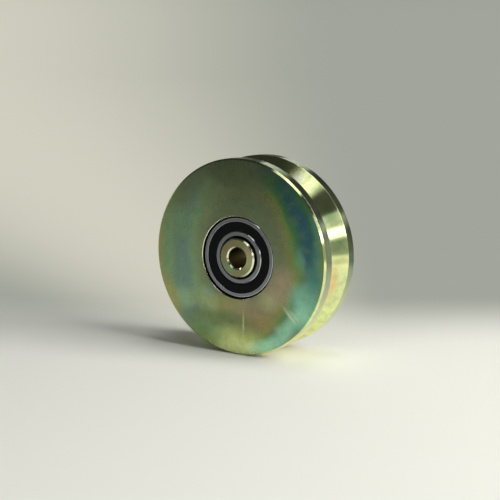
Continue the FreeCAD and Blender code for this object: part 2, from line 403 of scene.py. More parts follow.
@dataclass(frozen=True)
class ChromatedSteel(Metal):
    """Turned mild steel, zinc plated and dipped in yellow chromate.

    The film is about a third of a micrometre thick, so its thickness shows as bands of olive,
    rose, green and blue. The eye sees a soft, oily rainbow over a satin metal.

    Attributes:
        patches: Places where the film has another colour, some of them painted light, each laid over the
            ones before.
        rings: Oval rings of colour under the patches.
        painted_streaks: Narrow streaks of painted highlight, with straight edges.
        light: Painted shade and painted light on the film: its brightness high up and lower down.
        painted_light_heights: Heights above the axle of those two, in millimetres.
        fleck: Colour of the small clouds in the film.
        fleck_size: Size of those clouds in millimetres.
        fleck_edge: Values of the noise where such a cloud starts and is full.
        fleck_share: Most of that colour that a cloud shows.
        rear_turn: Turn about the axle of the same patches on the rear side, in degrees.
        rear_start: Place along the axle where the rear side starts, in millimetres.
        drift: How far the edges of the patches wander, in millimetres.
        drift_size: Length of their waves in millimetres.
    """

    patches: tuple[FilmAndLightPatch, ...] = ()
    rings: FilmRings | None = None
    painted_streaks: tuple[FilmAndLightPatch, ...] = ()
    light: Pair = (1.0, 1.0)
    painted_light_heights: Pair = (50.0, 20.0)
    fleck: Tint = Tint.MOSS
    fleck_size: float = 5.0
    fleck_edge: Pair = (0.45, 0.7)
    fleck_share: float = 0.2
    rear_turn: float = 140.0
    rear_start: float = 15.0
    drift: float = 4.0
    drift_size: float = 16.0

    def film_place(self, tree: Tree, place: Socket) -> tuple[Node, Node]:
        """Return the point that the film is laid out by, turned over at the rear.

        Args:
            tree: Node tree of the material.
            place: Point that is shaded.

        Returns:
            The point for the straight painted highlight streaks and the uneven one for the patches.
        """
        along = add_node(tree, "SeparateXYZ", {"Vector": place}).outputs["Y"]
        behind = add_node(tree, "Math", {0: along, 1: self.rear_start * MM}, operation="GREATER_THAN")
        turned = add_node(
            tree,
            "Mapping",
            {"Vector": place, "Rotation": (0, math.radians(self.rear_turn), 0), "Scale": (1, -1, 1)},
            vector_type="POINT",
        )
        chosen = add_node(tree, "Mix", {"Factor": behind, "A": place, "B": turned}, data_type="VECTOR")
        waves = {"Vector": place, "Scale": 1 / (self.drift_size * MM), "Detail": 2.5}
        wander = add_node(tree, "TexNoise", waves).outputs["Color"]
        centred = add_node(tree, "VectorMath", {0: wander, 1: (0.5,) * 3}, operation="SUBTRACT")
        drift = (2 * self.drift * MM,) * 3
        moved = add_node(tree, "VectorMath", {0: centred, 1: drift, 2: chosen}, operation="MULTIPLY_ADD")
        return chosen, moved

    def colour(self, tree: Tree, place: Socket) -> Node | Triple:
        """Return the film's colour: the ground, every patch over it, and painted light by height.

        Args:
            tree: Node tree of the material.
            place: Point that is shaded.

        Returns:
            The node that gives the colour, or the ground's colour where there are no patches.
        """
        if not self.patches:
            return super().colour(tree, place)
        straight, film = self.film_place(tree, place)
        colour = self.ring_colour(tree, film, self.rings) if self.rings else linear(self.ground)
        for patch in (*self.patches, *self.painted_streaks):
            local = add_node(
                tree,
                "Mapping",
                {
                    "Vector": straight if patch in self.painted_streaks else film,
                    "Location": [part * MM for part in patch.place],
                    "Rotation": (0, math.radians(patch.turn), 0),
                    "Scale": [part * MM for part in patch.reach],
                },
                vector_type="TEXTURE",
            )
            far = add_node(tree, "VectorMath", {0: local}, operation="LENGTH")
            share = add_node(
                tree,
                "MapRange",
                {"Value": far, "From Min": patch.core, "To Min": patch.share, "To Max": 0.0},
                interpolation_type="SMOOTHSTEP",
            )
            tint = linear(patch.tint.value)
            colour = add_node(tree, "Mix", {"Factor": share, "A": colour, "B": tint}, data_type="RGBA")
        flecks = {"Vector": place, "Scale": 1 / (self.fleck_size * MM), "Detail": 4.0}
        noise = add_node(tree, "TexNoise", flecks)
        start, full = self.fleck_edge
        clouds = add_node(
            tree,
            "MapRange",
            {"Value": noise, "From Min": start, "From Max": full, "To Max": self.fleck_share},
            interpolation_type="SMOOTHSTEP",
        )
        fleck = linear(self.fleck.value)
        flecked = add_node(tree, "Mix", {"Factor": clouds, "A": colour, "B": fleck}, data_type="RGBA")
        # painted light: darker near the top and lighter lower down, for the dark and pale surroundings
        # that the film reflects
        light = add_node(
            tree,
            "MapRange",
            {
                "Value": add_node(tree, "SeparateXYZ", {"Vector": film}).outputs["Z"],
                "From Min": self.painted_light_heights[0] * MM,
                "From Max": self.painted_light_heights[1] * MM,
                "To Min": self.light[0],
                "To Max": self.light[1],
            },
        )
        return add_node(tree, "VectorMath", {0: flecked, "Scale": light}, operation="SCALE")

    def ring_colour(self, tree: Tree, film: Node, rings: FilmRings) -> Node:
        """Return the colour of the film's rings.

        Args:
            tree: Node tree of the material.
            film: Point that the film is laid out by.
            rings: The rings.

        Returns:
            The node that gives the colour.
        """
        sides = []
        for (wide, tall), stops in ((rings.left_half, rings.left), (rings.right_half, rings.right)):
            scale = (wide * MM, 1.0, tall * MM)
            local = add_node(tree, "Mapping", {"Vector": film, "Scale": scale}, vector_type="TEXTURE")
            # half the distance from the axle, since a ramp ends at 1 and the rings reach past it
            flat = add_node(tree, "VectorMath", {0: local, 1: (0.5, 0, 0.5)}, operation="MULTIPLY")
            far = add_node(tree, "VectorMath", {0: flat}, operation="LENGTH")
            ramp = add_node(tree, "ValToRGB", {"Fac": far})
            elements = ramp.color_ramp.elements
            elements.remove(elements[1])
            for number, (distance, tint) in enumerate(stops):
                stop = elements[0] if number == 0 else elements.new(distance / 2)
                stop.position = distance / 2
                stop.color = linear(tint.value)
            sides.append(ramp)
        across = add_node(tree, "SeparateXYZ", {"Vector": film}).outputs["X"]
        share = add_node(
            tree,
            "MapRange",
            {"Value": across, "From Min": -rings.blend * MM, "From Max": rings.blend * MM},
            interpolation_type="SMOOTHSTEP",
        )
        return add_node(tree, "Mix", {"Factor": share, "A": sides[0], "B": sides[1]}, data_type="RGBA")


@dataclass(frozen=True)
class GroundSteel(Metal):
    """Hardened bearing steel with ground faces: a cool, even grey with fine round marks."""


@dataclass(frozen=True)
class GapShadeSteel(Metal):
    """Steel in the gaps beside the bearings, painted near black as the shade in those gaps."""


@dataclass(frozen=True)
class LappedSteel(Metal):
    """Lapped bearing balls: almost a mirror."""


@dataclass(frozen=True)
class PressedSteel(Metal):
    """Cold rolled strip, pressed: a dull grey with faint marks."""


@dataclass(frozen=True)
class MouldedNitrile:
    """Black nitrile rubber from a steel mould: dark, matt, with a faint grey sheen where it curves.

    Attributes:
        name: Name of the material.
        ground: Colour of the rubber.
        dust: Colour of the thin dust on it.
        grain: Real size of the mould's spark texture in millimetres, drawn COARSER times as wide.
        depth: Depth of that texture in millimetres, as drawn.
        cloud: Size in millimetres of the clouds in its dust and gloss.
        roughness: Roughness where it is smoothest and dullest.
    """

    name: str
    ground: str = "#06080c"
    dust: str = "#0e1015"
    grain: float = 0.1
    depth: float = 0.02
    cloud: float = 5.0
    roughness: Pair = (0.4, 0.6)

    def material(self) -> Material:
        """Make the material: a dull dielectric with a fine grain.

        Returns:
            The material.
        """
        material = bare_material(self.name)
        tree = material.node_tree
        place = add_node(tree, "TexCoord").outputs["Object"]
        grain, cloud = (
            add_node(tree, "TexNoise", {"Vector": place, "Scale": 1 / (size * MM), "Detail": 3.0})
            for size in (self.grain * COARSER, self.cloud)
        )
        relief = add_node(tree, "Bump", {"Height": grain, "Strength": 0.6, "Distance": self.depth * MM})
        low, high = self.roughness
        gloss = add_node(tree, "MapRange", {"Value": cloud, "To Min": low, "To Max": high})
        rubber, dust = linear(self.ground), linear(self.dust)
        dusty = add_node(tree, "Mix", {"Factor": cloud, "A": rubber, "B": dust}, data_type="RGBA")
        shader = add_node(
            tree,
            "BsdfPrincipled",
            {
                "Base Color": dusty,
                "Roughness": gloss,
                "IOR": 1.52,
                "Specular IOR Level": 0.1,
                "Normal": relief,
            },
        )
        add_node(tree, "OutputMaterial", {"Surface": shader})
        return material


@dataclass(frozen=True)
class Corner:
    """One corner of a turned half-section, in millimetres.

    Attributes:
        radius: Distance from the axle.
        along: Place along the axle.
        round: Radius of the rounded edge, or 0 for a point of a smooth curve.
        finish: Number of the material of the surface from this corner to the next.
        worn: Number of the material of the rounded edge itself, or -1 for its neighbours' own.
    """

    radius: float
    along: float
    round: float = 0.04
    finish: int = 0
    worn: int = -1

    @property
    def point(self) -> Vector:
        """The corner as a point of the half-section."""
        return Vector((self.radius, self.along))


def arc(centre: Pair, radius: float, start: float, end: float, steps: int) -> list[Corner]:
    """Return the points of a round stretch of a half-section.

    Args:
        centre: Distance from the axle and place along it, in millimetres.
        radius: Radius of the stretch in millimetres.
        start: Angle of the first point in degrees, from the radius towards the axle's +Y.
        end: Angle of the last point.
        steps: Number of chords.

    Returns:
        The points from start to end.
    """
    turns = [math.radians(start + (end - start) * step / steps) for step in range(steps + 1)]
    return [
        Corner(centre[0] + radius * math.cos(turn), centre[1] + radius * math.sin(turn), 0.0)
        for turn in turns
    ]


def mirrored(half: list[Corner], closing: int) -> list[Corner]:
    """Return the other half of a section that is the same at both ends.

    Args:
        half: Corners of the front half, up to the middle.
        closing: Finish of the surface from the section's last corner to its first.

    Returns:
        The corners of the rear half, from the middle on, with each surface's finish as in front.
    """
    finishes = [closing, *(corner.finish for corner in half[:-1])]
    rear = [
        replace(corner, along=-corner.along, finish=finish)
        for corner, finish in zip(half, finishes)
    ]
    return rear[::-1]


@dataclass
class TurnedForm:
    """Ring that a closed half-section sweeps round the axle, with rounded edges and true normals.

    Attributes:
        name: Name of the piece.
        corners: Corners of the half-section, in order either way round.
        materials: Materials of the surfaces, by a corner's finish number.
        segments: Number of steps round the axle.
        round_steps: Number of chords in a rounded edge.
    """

    name: str
    corners: list[Corner]
    materials: list[Material]
    segments: int = 288
    round_steps: int = 4

    def rounded(self, before: Corner, here: Corner, after: Corner) -> list[tuple[Vector, Vector]]:
        """Return the points and outward normals of one corner.

        Args:
            before: Corner before it, with the metal on the left of the path.
            here: The corner itself.
            after: Corner after it.

        Returns:
            Pairs of a point and a unit normal, along the path.
        """
        coming = (here.point - before.point).normalized()
        going = (after.point - here.point).normalized()
        first = Vector((coming.y, -coming.x))
        last = Vector((going.y, -going.x))
        if here.round == 0:
            return [(here.point, (first + last).normalized())]
        turn = coming.angle_signed(going)
        reach = here.round * math.tan(abs(turn) / 2)
        start = here.point - coming * reach
        sign = 1 if turn < 0 else -1
        pairs = []
        for step in range(self.round_steps + 1):
            normal = Matrix.Rotation(-turn * step / self.round_steps, 2) @ first
            pairs.append((start + (normal - first) * here.round * sign, normal))
        return pairs

    def section(self) -> list[tuple[Vector, Vector, int]]:
        """Return the half-section with its edges rounded.

        Returns:
            For each point of it the point, the outward normal and the number of the finish.
        """
        corners = list(self.corners)
        area = sum(
            here.radius * after.along - after.radius * here.along
            for here, after in zip(corners, corners[1:] + corners[:1])
        )
        if area < 0:
            finishes = [corner.finish for corner in corners]
            corners = [
                replace(corner, finish=finishes[place - 1]) for place, corner in enumerate(corners)
            ][::-1]
        rows = []
        for place, here in enumerate(corners):
            before = corners[place - 1]
            pairs = self.rounded(before, here, corners[(place + 1) % len(corners)])
            for step, (point, normal) in enumerate(pairs):
                finish = here.finish if 2 * step >= len(pairs) - 1 else before.finish
                if here.worn >= 0 and step < len(pairs) - 1:
                    finish = here.worn
                rows.append((point, normal, finish))
        return rows

    def build(self) -> bpy.types.Object:
        """Make the piece as a mesh in metres, at its place.

        Returns:
            The piece.
        """
        rows = self.section()
        count = len(rows)
        points = []
        normals = []
        faces = []
        for step in range(self.segments):
            turn = 2 * math.pi * step / self.segments
            across, up = math.sin(turn), math.cos(turn)
            this, following = step * count, (step + 1) % self.segments * count
            for row, (point, normal, _) in enumerate(rows):
                points.append((point.x * across * MM, point.y * MM, point.x * up * MM))
                normals.append((normal.x * across, normal.y, normal.x * up))
                beyond = (row + 1) % count
                faces.append((this + row, following + row, following + beyond, this + beyond))
        mesh = bpy.data.meshes.new(self.name)
        mesh.from_pydata(points, [], faces)
        for material in self.materials:
            mesh.materials.append(material)
        finishes = [int(finish) for _, _, finish in rows]
        mesh.polygons.foreach_set("material_index", finishes * self.segments)
        mesh.polygons.foreach_set("use_smooth", [True] * len(faces))
        mesh.update()
        mesh.normals_split_custom_set_from_vertices(normals)
        return add_object(self.name, mesh)


def stand_for(piece: bpy.types.Object, node: str, body: str, slot: str) -> None:
    """Let a piece take a node's place and move with its body.

    Args:
        piece: The finer piece.
        node: Name of the node that it replaces.
        body: Name of the body that it rides on.
        slot: Name of the record's material slot; not used.
    """
    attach(piece, body)
    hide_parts(node)
    log.info("%s: %d faces on %s", piece.name, len(piece.data.polygons), body)


def half_size(node: str) -> Pair:
    """Return a round node's outside radius and its reach along the axle, in millimetres.

    Args:
        node: Name of a node that is centred on the axle.

    Returns:
        The radius and the farthest place along the axle.
    """
    _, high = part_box(node)
    return high.x / MM, high.y / MM


@dataclass
class WheelBody:
    """The turned wheel: two faces, two lands, the V between them and a seat for each bearing.

    Attributes:
        rim_chamfer: Size of the turned edge between face and land.
        mouth: Half the width of the V at the lands.
        root: Half the width of the flat at the bottom of the V.
        groove_break: Size of the broken edges of the V.
        seat_chamfer: Lead-in of each bearing seat.
        rib_height: Height of the rib between the bearings, inside the seats.
        edge: Round that the tumbling left on the turned edges.
    """

    rim_chamfer: float = 0.9
    mouth: float = 8.8
    root: float = 1.0
    groove_break: float = 0.3
    seat_chamfer: float = 0.26
    rib_height: float = 2.8
    edge: float = 0.08

    def corners(self) -> list[Corner]:
        """Return the half-section, from the rib's bore round the front face to the rear.

        Returns:
            The corners.
        """
        rim, face = half_size("wheel_body")
        seat, floor = half_size("front_bearing_outer_race")
        groove = rim - (self.mouth - self.root)
        front = [
            Corner(seat - self.rib_height, floor, self.edge, WheelFinish.SEAT),
            Corner(seat, floor, self.edge, WheelFinish.SEAT),
            Corner(seat, self.seat_chamfer - face, self.edge, WheelFinish.EDGE),
            Corner(seat + self.seat_chamfer, -face, self.edge, WheelFinish.FACE),
            Corner(rim - self.rim_chamfer, -face, self.edge, WheelFinish.GROOVE),
            Corner(rim, self.rim_chamfer - face, self.edge, WheelFinish.LAND),
            Corner(rim, -self.mouth - self.groove_break, self.edge, WheelFinish.GROOVE),
            Corner(rim - self.groove_break, -self.mouth, self.edge, WheelFinish.GROOVE),
            Corner(groove, -self.root, self.edge, WheelFinish.GROOVE),
        ]
        return front + mirrored(front, WheelFinish.GROOVE)

    def build(self, finishes: list[Material]) -> None:
        """Make the wheel body.

        Args:
            finishes: Its finishes, in the order of WheelFinish.
        """
        piece = TurnedForm("turned_wheel", self.corners(), finishes, segments=384).build()
        stand_for(piece, "wheel_body", "wheel", "plated_wheel")


@dataclass
class AxleSleeve:
    """The plain sleeve through both inner races.

    Attributes:
        bore: Radius of the bore.
        outside_chamfer: Size of the chamfer outside each end.
        lead_in: Size of the chamfer in each end of the bore.
        edge: Round on its edges.
    """

    bore: float = 5.25
    outside_chamfer: float = 0.7
    lead_in: float = 0.65
    edge: float = 0.06

    def build(self, finishes: list[Material]) -> None:
        """Make the sleeve.

        Args:
            finishes: Its finishes, in the order of SleeveFinish.
        """
        radius, end = half_size("axle_sleeve")
        # the chamfers and their rounded edges take the lighter finish, a painted highlight
        outside, bright = SleeveFinish.OUTSIDE, SleeveFinish.EDGE
        front = [
            Corner(self.bore, self.lead_in - end, self.edge, bright, worn=bright),
            Corner(self.bore + self.lead_in, -end, self.edge, outside, worn=bright),
            Corner(radius - self.outside_chamfer, -end, self.edge, bright, worn=bright),
            Corner(radius, self.outside_chamfer - end, self.edge, outside),
        ]
        corners = front + mirrored(front, SleeveFinish.BORE)
        piece = TurnedForm("turned_sleeve", corners, finishes, segments=240).build()
        stand_for(piece, "axle_sleeve", "core", "plated_sleeve")


@dataclass
class SealedBearing:
    """One sealed ball bearing, with its races and seals made again as fine turned rings.

    Attributes:
        side: End of the wheel that it sits in.
        bore_corner: Round on the inner race's bore edges.
        inner_break: Broken edge outside the inner race's faces.
        outer_corner: Size of the outer race's outside corners.
        outside_round: Round between such a corner and the outside.
        honed_round: Round between such a corner and the face, in the lighter edge finish.
        window_round: Round on the edge of the outer race's opening.
        fine_round: Round on the edges inside the races.
        raceway: Radius of both raceways in section.
        outer_centre: Distance from the axle of the outer raceway's centre.
        inner_centre: Distance from the axle of the inner raceway's centre.
        outer_shoulder: Radius of the outer race's shoulders.
        window: Radius of the opening in each face, where the seal shows.
        snap_floor: Radius of the snap groove's floor.
        ledge: Distance of the seal's seat from the bearing's middle.
        snap_back: Distance of the snap groove's outer wall from the bearing's middle.
        seal_face: Distance of the seal's face from the bearing's middle.
        seal_web: Thickness of the seal.
        seal_fit: Gap round the seal's bead.
        seal_round: Round on the seal's edges.
        seal_rim: Round on the outside edge of the seal's face.
        lip_gap: Gap between the seal's lip and the inner race.
        lip_tip: Thickness of the lip's edge.
        lip_taper: Radial length of the lip.
    """

    side: Side
    bore_corner: float = 1.2
    inner_break: float = 0.3
    outer_corner: float = 0.85
    outside_round: float = 0.2
    honed_round: float = 0.5
    window_round: float = 0.15
    fine_round: float = 0.05
    raceway: float = 3.302
    outer_centre: float = 15.423
    inner_centre: float = 15.577
    outer_shoulder: float = 17.7
    window: float = 18.3
    snap_floor: float = 18.9
    ledge: float = 4.5
    snap_back: float = 5.25
    seal_face: float = 5.7
    seal_web: float = 0.7
    seal_fit: float = 0.05
    seal_round: float = 0.06
    seal_rim: float = 0.12
    lip_gap: float = 0.1
    lip_tip: float = 0.4
    lip_taper: float = 0.8

    def __post_init__(self) -> None:
        """Read the bearing's outside sizes and its middle from the frame."""
        low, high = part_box(f"{self.side.bearing}_outer_race")
        self.middle = (low.y + high.y) / 2 / MM
        self.half_width = (high.y - low.y) / 2 / MM
        self.outside = high.x / MM
        self.bore, _ = half_size("axle_sleeve")
        self.inner_shoulder, _ = half_size(f"{self.side.bearing}_inner_race")

    def outer_race(self) -> list[Corner]:
        """Return the outer race's half-section.

        Returns:
            The corners, about the bearing's middle.
        """
        fine, gap, glint_edges = self.fine_round, RaceFinish.GAP, RaceFinish.HONED
        opening = math.degrees(math.acos((self.outer_shoulder - self.outer_centre) / self.raceway))
        groove = arc((self.outer_centre, 0.0), self.raceway, -opening, 0, GROOVE_STEPS)
        groove[0] = replace(groove[0], round=fine)
        side = [
            # the outside corner is near black, as painted shade in the gap round the race
            Corner(self.outside, self.outer_corner - self.half_width, self.outside_round, gap, gap),
            # the rounded edges take the lighter finish, a painted highlight
            Corner(self.outside - self.outer_corner, -self.half_width, self.honed_round, worn=glint_edges),
            Corner(self.window, -self.half_width, self.window_round, worn=glint_edges),
            Corner(self.window, -self.snap_back, fine),
            Corner(self.snap_floor, -self.snap_back, fine),
            Corner(self.snap_floor, -self.ledge, fine),
            Corner(self.outer_shoulder, -self.ledge, fine),
            *groove[:-1],
        ]
        return [*side, groove[-1], *mirrored(side, RaceFinish.GROUND)]

    def inner_race(self) -> list[Corner]:
        """Return the inner race's half-section.

        Returns:
            The corners, about the bearing's middle.
        """
        gap, glint_edges = RaceFinish.GAP, RaceFinish.HONED
        opening = math.degrees(math.acos((self.inner_centre - self.inner_shoulder) / self.raceway))
        groove = arc((self.inner_centre, 0.0), self.raceway, 180 + opening, 180, GROOVE_STEPS)
        groove[0] = replace(groove[0], round=self.fine_round)
        face_edge = self.inner_shoulder - self.inner_break
        side = [
            # the rounded bore edge is near black, as painted shade in the gap by the sleeve
            Corner(self.bore, -self.half_width, self.bore_corner, worn=gap),
            # the broken edge takes the lighter finish, a painted highlight
            Corner(face_edge, -self.half_width, finish=glint_edges, worn=glint_edges),
            Corner(self.inner_shoulder, self.inner_break - self.half_width, worn=glint_edges),
            *groove[:-1],
        ]
        return [*side, groove[-1], *mirrored(side, RaceFinish.GROUND)]

    def seal(self, facing: int) -> list[Corner]:
        """Return a seal's half-section.

        Args:
            facing: -1 for the seal that faces the front, 1 for the one that faces the rear.

        Returns:
            The corners, about the bearing's middle.
        """
        lip = self.inner_shoulder + self.lip_gap
        back = self.seal_face - self.seal_web
        centre = self.seal_face - self.seal_web / 2
        bead = self.snap_floor - self.seal_fit
        rim = self.window - self.seal_fit
        neck = self.outer_shoulder + self.seal_fit
        fine = self.seal_round
        corners = [
            Corner(lip, centre - self.lip_tip / 2, fine),
            Corner(lip, centre + self.lip_tip / 2, fine),
            Corner(lip + self.lip_taper, self.seal_face, fine),
            Corner(rim, self.seal_face, self.seal_rim),
            Corner(rim, self.snap_back - self.seal_fit, fine),
            Corner(bead, self.snap_back - self.seal_fit, fine),
            Corner(bead, self.ledge, fine),
            Corner(neck, self.ledge, fine),
            Corner(neck, back, fine),
            Corner(lip + self.lip_taper, back, fine),
        ]
        return [replace(corner, along=corner.along * facing) for corner in corners]

    def build(self, races: list[Material], rubber: Material) -> None:
        """Make the races and both seals.

        Args:
            races: Finishes of the races, in the order of RaceFinish.
            rubber: Material of the seals.
        """
        rings = (
            ("ground", "outer_race", "wheel", "ground_race", self.outer_race(), races),
            ("ground", "inner_race", "core", "ground_race", self.inner_race(), races),
            ("moulded", "outboard_seal", "wheel", "seal_rubber", self.seal(self.side.value), [rubber]),
            ("moulded", "inboard_seal", "wheel", "seal_rubber", self.seal(-self.side.value), [rubber]),
        )
        for made, ring, body, slot, corners, materials in rings:
            placed = [replace(corner, along=corner.along + self.middle) for corner in corners]
            piece = TurnedForm(f"{self.side.bearing}_{made}_{ring}", placed, materials).build()
            stand_for(piece, f"{self.side.bearing}_{ring}", body, slot)

    def dress(self, balls: Material, cage: Material) -> None:
        """Give the pieces inside their finishes, on their own meshes.

        Args:
            balls: Finish of the balls.
            cage: Finish of the cage and its rivets.
        """
        for name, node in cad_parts.items():
            if not name.startswith(self.side.bearing):
                continue
            if "_ball_" in name or "_cage" in name:
                node.data.materials.clear()
                node.data.materials.append(balls if "_ball_" in name else cage)
                log.info("%s: finish laid on", name)


@dataclass(frozen=True)
class SoftBox:
    """Square lamp with an even front, aimed at the wheel.

    Attributes:
        name: Name of the lamp.
        azimuth: Direction from the wheel in degrees, 0 in front of its face and 90 to its right.
        elevation: Height of that direction above the floor in degrees.
        distance: Distance from the wheel in metres.
        size: Width and height of its front in metres.
        radiance: Brightness of its front, where 1 is a white surface in full light.
        colour: Colour of its light.
    """

    name: str
    azimuth: float
    elevation: float
    distance: float
    size: Pair
    radiance: float
    colour: str = "#ffffff"

    def build(self) -> None:
        """Hang the lamp."""
        away = direction(self.azimuth, self.elevation)
        lamp = bpy.data.lights.new(self.name, "AREA")
        lamp.shape = "RECTANGLE"
        lamp.size, lamp.size_y = self.size
        lamp.energy = self.radiance * math.pi * self.size[0] * self.size[1]
        lamp.color = linear(self.colour)[:3]
        item = add_object(self.name, lamp)
        item.location = away * self.distance
        item.rotation_mode = "QUATERNION"
        item.rotation_quaternion = away.to_track_quat("Z", "Y")
        item.visible_camera = False


@dataclass
class Studio:
    """Pale floor, grey surroundings and soft lamps.

    Attributes:
        floor_half: Half the width of the floor in metres.
        paper: Colour of the paper that the wheel stands on.
        paper_end: Distances behind the wheel where the paper starts to fade and has gone.
        paper_middle: Middle of the paper in metres.
        paper_reach: Distances from that middle where the paper starts to fade and has gone.
        view_azimuth: Direction of the camera, which the paper's far end lies square to.
        wall: Colour of the surroundings.
        glow: Colour of the lit part of the surroundings.
        glow_azimuth: Direction of that part from the wheel in degrees.
        glow_edge: Cosines of the angles from that direction where the light starts and would be
            full, which is past 1, so the last of it never comes.
        glow_middle: Place on the floor that those angles are measured from, in metres.
        ceiling: Colour of the surroundings high above.
        ceiling_edge: Sines of the heights where the ceiling starts and is full.
        lamps: The soft boxes.
    """

    floor_half: float = 12.0
    paper: str = "#eaebe4"
    paper_end: Pair = (0.0, 0.13)
    paper_middle: Pair = (0.09, -0.17)
    paper_reach: Pair = (0.27, 0.52)
    view_azimuth: float = 31.9
    wall: str = "#a2a59b"
    glow: str = "#e9e5d4"
    glow_azimuth: float = 230.2
    glow_edge: Pair = (0.92, 1.06)
    glow_middle: Pair = (0.121, -0.074)
    ceiling: str = "#30322f"
    ceiling_edge: Pair = (0.04, 0.3)
    lamps: tuple[SoftBox, ...] = (
        SoftBox("key_box", 95, 24, 1.20, (0.66, 0.54), 11.5, "#fffbf3"),
        SoftBox("fill_box", 99, 48, 1.30, (0.72, 0.58), 4.4),
        SoftBox("zenith_box", 115, 80, 0.90, (0.32, 0.32), 6.0),
        SoftBox("strip_box", 61, 14.5, 0.80, (0.13, 0.12), 2.7),
        SoftBox("pale_box", 60, 20, 0.85, (0.15, 0.36), 0.75),
        SoftBox("top_box", 40, 58, 0.90, (0.21, 0.24), 1.5),
        SoftBox("crown_box", 22, 68, 0.90, (0.24, 0.16), 1.0),
        SoftBox("glint_box", -2, 34, 0.80, (0.12, 0.12), 8.0, "#f2f6ff"),
        SoftBox("rear_box", 197, 26, 0.80, (0.20, 0.12), 1.4),
        SoftBox("side_box", 154, 13, 0.80, (0.10, 0.11), 1.2),
    )

    def surroundings(self, tree: Tree, place: Socket, middle: Pair) -> Node:
        """Return the colour that surrounds the wheel, lighter round the lit part.

        Args:
            tree: Node tree of the floor's material or of the world.
            place: Point or direction from the wheel.
            middle: Place that the lit part's direction is measured from.

        Returns:
            The node that gives the colour.
        """
        lit_side = direction(self.glow_azimuth, 0)
        away = add_node(tree, "VectorMath", {0: place, 1: (*middle, 0)}, operation="SUBTRACT")
        level = add_node(tree, "VectorMath", {0: away, 1: (1, 1, 0)}, operation="MULTIPLY")
        unit = add_node(tree, "VectorMath", {0: level}, operation="NORMALIZE")
        towards = add_node(tree, "VectorMath", {0: unit, 1: lit_side}, operation="DOT_PRODUCT")
        start, full = self.glow_edge
        lit = add_node(
            tree,
            "MapRange",
            {"Value": towards, "From Min": start, "From Max": full},
            interpolation_type="SMOOTHSTEP",
        )
        wall, glow = linear(self.wall), linear(self.glow)
        return add_node(tree, "Mix", {"Factor": lit, "A": wall, "B": glow}, data_type="RGBA")

    def world(self) -> None:
        """Surround the scene with plain light: grey at the horizon and dim above."""
        world = bpy.data.worlds.new("studio_surroundings")
        bpy.context.scene.world = world
        world.use_nodes = True
        tree = world.node_tree
        tree.nodes.clear()
        place = add_node(tree, "TexCoord").outputs["Generated"]
        start, full = self.ceiling_edge
        up = add_node(tree, "SeparateXYZ", {"Vector": place}).outputs["Z"]
        height = add_node(
            tree,
            "MapRange",
            {"Value": up, "From Min": start, "From Max": full},
            interpolation_type="SMOOTHSTEP",
        )
        walls, ceiling = self.surroundings(tree, place, (0.0, 0.0)), linear(self.ceiling)
        colour = add_node(tree, "Mix", {"Factor": height, "A": walls, "B": ceiling}, data_type="RGBA")
        add_node(tree, "OutputWorld", {"Surface": add_node(tree, "Background", {"Color": colour})})

    def matt_paper(self, level: float) -> Material:
        """Make the paper: uncoated and matt, so the eye sees a soft shadow and no gloss on it.

        Args:
            level: Height of the floor in metres.

        Returns:
            The material, which fades into the colour of the surroundings.
        """
        material = bare_material("matt_paper")
        tree = material.node_tree
        place = add_node(tree, "TexCoord").outputs["Object"]
        behind = -direction(self.view_azimuth, 0)
        depth = add_node(tree, "VectorMath", {0: place, 1: behind}, operation="DOT_PRODUCT")
        middle = (*self.paper_middle, level)
        around = add_node(tree, "VectorMath", {0: place, 1: middle}, operation="DISTANCE")
        fades = [
            add_node(
                tree,
                "MapRange",
                {"Value": value, "From Min": start, "From Max": gone},
                interpolation_type="SMOOTHSTEP",
            )
            for value, (start, gone) in ((depth, self.paper_end), (around, self.paper_reach))
        ]
        away = add_node(tree, "Math", dict(enumerate(fades)), operation="MAXIMUM")
        sheet = {"Base Color": linear(self.paper), "Roughness": 0.85, "IOR": 1.45}
        paper = add_node(tree, "BsdfPrincipled", sheet)
        grey = add_node(tree, "Emission", {"Color": self.surroundings(tree, place, self.glow_middle)})
        faded = add_node(tree, "MixShader", {0: away, 1: paper, 2: grey})
        add_node(tree, "OutputMaterial", {"Surface": faded})
        return material

    def floor(self, level: float) -> None:
        """Lay the floor: pale paper round the wheel that fades into the surroundings.

        Args:
            level: Height of the floor in metres.
        """
        half = self.floor_half
        mesh = bpy.data.meshes.new("studio_floor")
        mesh.from_pydata(
            [(-half, -half, level), (half, -half, level), (half, half, level), (-half, half, level)],
            [],
            [(0, 1, 2, 3)],
        )
        mesh.materials.append(self.matt_paper(level))
        add_object("studio_floor", mesh)

    def build(self) -> None:
        """Make the surroundings, the floor under the wheel and the lamps."""
        low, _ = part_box("wheel_body")
        self.world()
        self.floor(low.z)
        for lamp in self.lamps:
            lamp.build()
        bpy.context.scene.view_settings.view_transform = "Standard"
        log.info("studio: floor at %.4f m, %d lamps", low.z, len(self.lamps))


